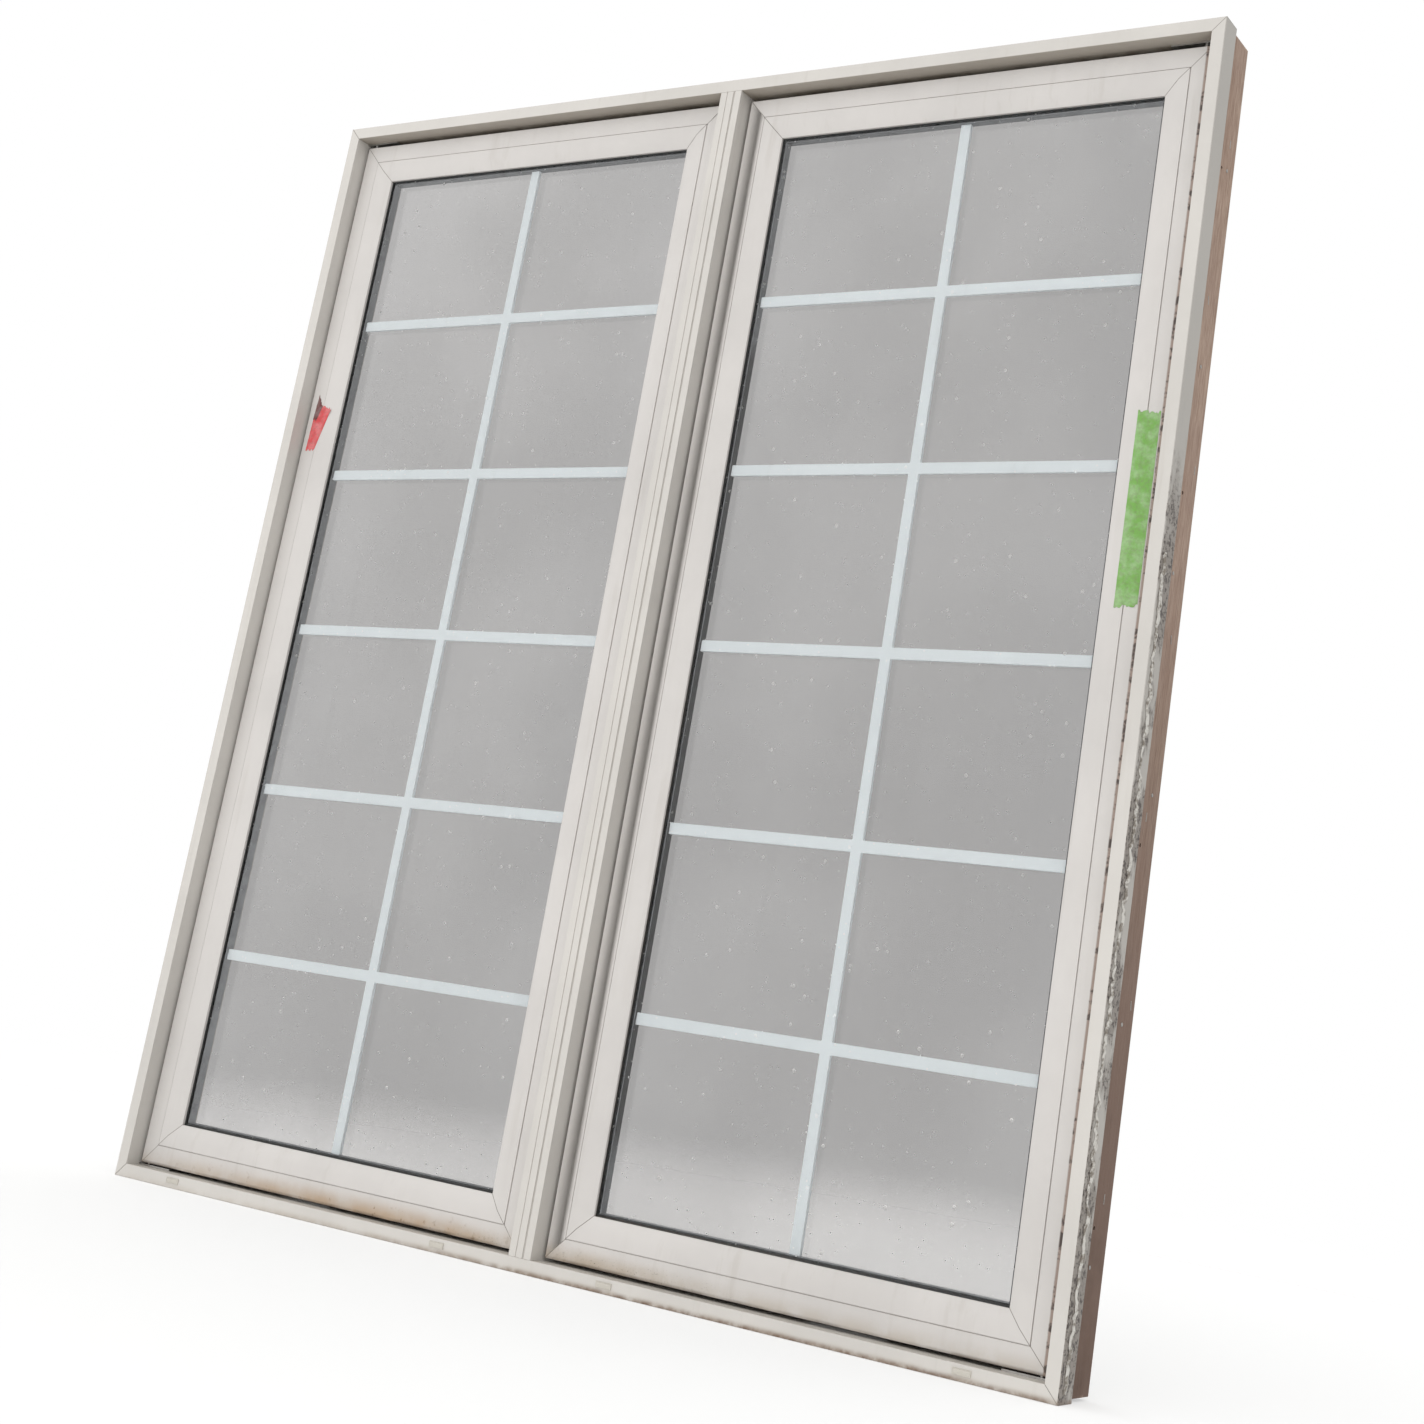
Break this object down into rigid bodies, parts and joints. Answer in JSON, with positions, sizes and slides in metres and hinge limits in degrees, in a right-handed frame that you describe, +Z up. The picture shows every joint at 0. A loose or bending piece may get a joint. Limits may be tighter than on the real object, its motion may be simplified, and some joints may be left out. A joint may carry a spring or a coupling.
{
  "type": "casement window",
  "caption": "Twin casement window: mitred off-white vinyl frame, outward-swinging sashes, double glazing with flat grille bars inside, crank operators, lock levers and wood jamb boards.",
  "frame": {"origin": "middle of the underside of the sill flange", "axes": "+X to the right seen from outside, +Y from outside towards the room, +Z up"},
  "size_m": [1.651, 0.1398, 1.803],
  "materials": {
    "frame_vinyl": "satin off-white vinyl",
    "sash_vinyl": "satin off-white vinyl",
    "bead_vinyl": "satin off-white vinyl",
    "drain_cover": "satin",
    "jamb_wood": "weathered brown",
    "seal_rubber": "matte",
    "gasket_rubber": "matte",
    "glass": "clear",
    "spacer_metal": "mill",
    "grille_white": "satin white",
    "hinge_steel": "brushed",
    "bush_plastic": "matte",
    "track_steel": "brushed",
    "keeper_steel": "brushed",
    "operator_zinc": "zinc plated",
    "cover_plastic": "satin white",
    "arm_steel": "zinc plated",
    "spindle_steel": "machined",
    "handle_white": "white enamel",
    "knob_plastic": "white",
    "lock_case_white": "white enamel",
    "lever_white": "white enamel",
    "tie_steel": "zinc plated"
  },
  "bodies": {
    "frame_body": {"frame_head": "frame_vinyl", "frame_jamb_left": "frame_vinyl", "frame_jamb_right": "frame_vinyl", "frame_sill": "frame_vinyl", "left_hinge_plates": "hinge_steel", "left_lock_case": "lock_case_white", "left_operator_base": "operator_zinc", "left_operator_cover": "cover_plastic", "left_weatherstrip": "seal_rubber", "mullion": "frame_vinyl", "right_hinge_plates": "hinge_steel", "right_lock_case": "lock_case_white", "right_operator_base": "operator_zinc", "right_operator_cover": "cover_plastic", "right_weatherstrip": "seal_rubber", "weep_covers": "drain_cover", "wood_head": "jamb_wood", "wood_jamb_left": "jamb_wood", "wood_jamb_right": "jamb_wood", "wood_sill": "jamb_wood"},
    "left_sash_body": {"left_rail_top": "sash_vinyl", "left_rail_bottom": "sash_vinyl", "left_stile_hinge": "sash_vinyl", "left_stile_lock": "sash_vinyl", "left_glazing_beads": "bead_vinyl", "left_outer_pane": "glass", "left_inner_pane": "glass", "left_spacer": "spacer_metal", "left_gasket": "gasket_rubber", "left_grille": "grille_white", "left_hinge_bushes": "bush_plastic", "left_track": "track_steel", "left_keepers": "keeper_steel"},
    "left_operator_arm_body": {"left_operator_arm": "arm_steel"},
    "left_crank_body": {"left_crank_spindle": "spindle_steel", "left_crank_handle": "handle_white"},
    "left_knob_body": {"left_crank_knob": "knob_plastic"},
    "left_lock_lever_body": {"left_lock_lever": "lever_white"},
    "left_tie_bar_body": {"left_tie_bar": "tie_steel"},
    "right_sash_body": {"right_rail_top": "sash_vinyl", "right_rail_bottom": "sash_vinyl", "right_stile_hinge": "sash_vinyl", "right_stile_lock": "sash_vinyl", "right_glazing_beads": "bead_vinyl", "right_outer_pane": "glass", "right_inner_pane": "glass", "right_spacer": "spacer_metal", "right_gasket": "gasket_rubber", "right_grille": "grille_white", "right_hinge_bushes": "bush_plastic", "right_track": "track_steel", "right_keepers": "keeper_steel"},
    "right_operator_arm_body": {"right_operator_arm": "arm_steel"},
    "right_crank_body": {"right_crank_spindle": "spindle_steel", "right_crank_handle": "handle_white"},
    "right_knob_body": {"right_crank_knob": "knob_plastic"},
    "right_lock_lever_body": {"right_lock_lever": "lever_white"},
    "right_tie_bar_body": {"right_tie_bar": "tie_steel"}
  },
  "joints": [
    {"name": "left_sash_hinge", "type": "hinge", "parent": "frame_body", "child": "left_sash_body", "pos_m": [-0.7875, 0.011, 0.025], "axis": [0, 0, -1], "range_deg": [0, 60]},
    {"name": "left_arm_pivot", "type": "hinge", "parent": "frame_body", "child": "left_operator_arm_body", "pos_m": [-0.5924, 0.055, 0.033], "axis": [0, 0, -1], "range_deg": [0, 120]},
    {"name": "left_crank_turn", "type": "hinge", "parent": "frame_body", "child": "left_crank_body", "pos_m": [-0.5924, 0.071, 0.041], "axis": [0, 0.7071, 0.7071], "range_deg": [0, 1800]},
    {"name": "left_knob_spin", "type": "hinge", "parent": "left_crank_body", "child": "left_knob_body", "pos_m": [-0.5324, 0.09646, 0.06646], "axis": [0, 0.7071, 0.7071], "continuous": true},
    {"name": "left_lever_turn", "type": "hinge", "parent": "frame_body", "child": "left_lock_lever_body", "pos_m": [-0.027, 0.073, 0.62], "axis": [-1, 0, 0], "range_deg": [0, 140]},
    {"name": "left_tie_slide", "type": "slide", "parent": "frame_body", "child": "left_tie_bar_body", "axis": [0, 0, 1], "range_m": [0, 0.02201]},
    {"name": "right_sash_hinge", "type": "hinge", "parent": "frame_body", "child": "right_sash_body", "pos_m": [0.7875, 0.011, 0.025], "axis": [0, 0, 1], "range_deg": [0, 60]},
    {"name": "right_arm_pivot", "type": "hinge", "parent": "frame_body", "child": "right_operator_arm_body", "pos_m": [0.5924, 0.055, 0.033], "axis": [0, 0, 1], "range_deg": [0, 120]},
    {"name": "right_crank_turn", "type": "hinge", "parent": "frame_body", "child": "right_crank_body", "pos_m": [0.5924, 0.071, 0.041], "axis": [0, 0.7071, 0.7071], "range_deg": [0, 1800]},
    {"name": "right_knob_spin", "type": "hinge", "parent": "right_crank_body", "child": "right_knob_body", "pos_m": [0.5324, 0.09646, 0.06646], "axis": [0, 0.7071, 0.7071], "continuous": true},
    {"name": "right_lever_turn", "type": "hinge", "parent": "frame_body", "child": "right_lock_lever_body", "pos_m": [0.027, 0.073, 0.62], "axis": [-1, 0, 0], "range_deg": [0, 140]},
    {"name": "right_tie_slide", "type": "slide", "parent": "frame_body", "child": "right_tie_bar_body", "axis": [0, 0, 1], "range_m": [0, 0.02201]}
  ],
  "couplings": [
    {"joint": "left_arm_pivot", "follows": "left_sash_hinge", "ratio": 2},
    {"joint": "left_crank_turn", "follows": "left_sash_hinge", "ratio": 30},
    {"joint": "left_tie_slide", "follows": "left_lever_turn", "m_per_rad": 0.0090036},
    {"joint": "right_arm_pivot", "follows": "right_sash_hinge", "ratio": 2},
    {"joint": "right_crank_turn", "follows": "right_sash_hinge", "ratio": 30},
    {"joint": "right_tie_slide", "follows": "right_lever_turn", "m_per_rad": 0.0090036}
  ]
}
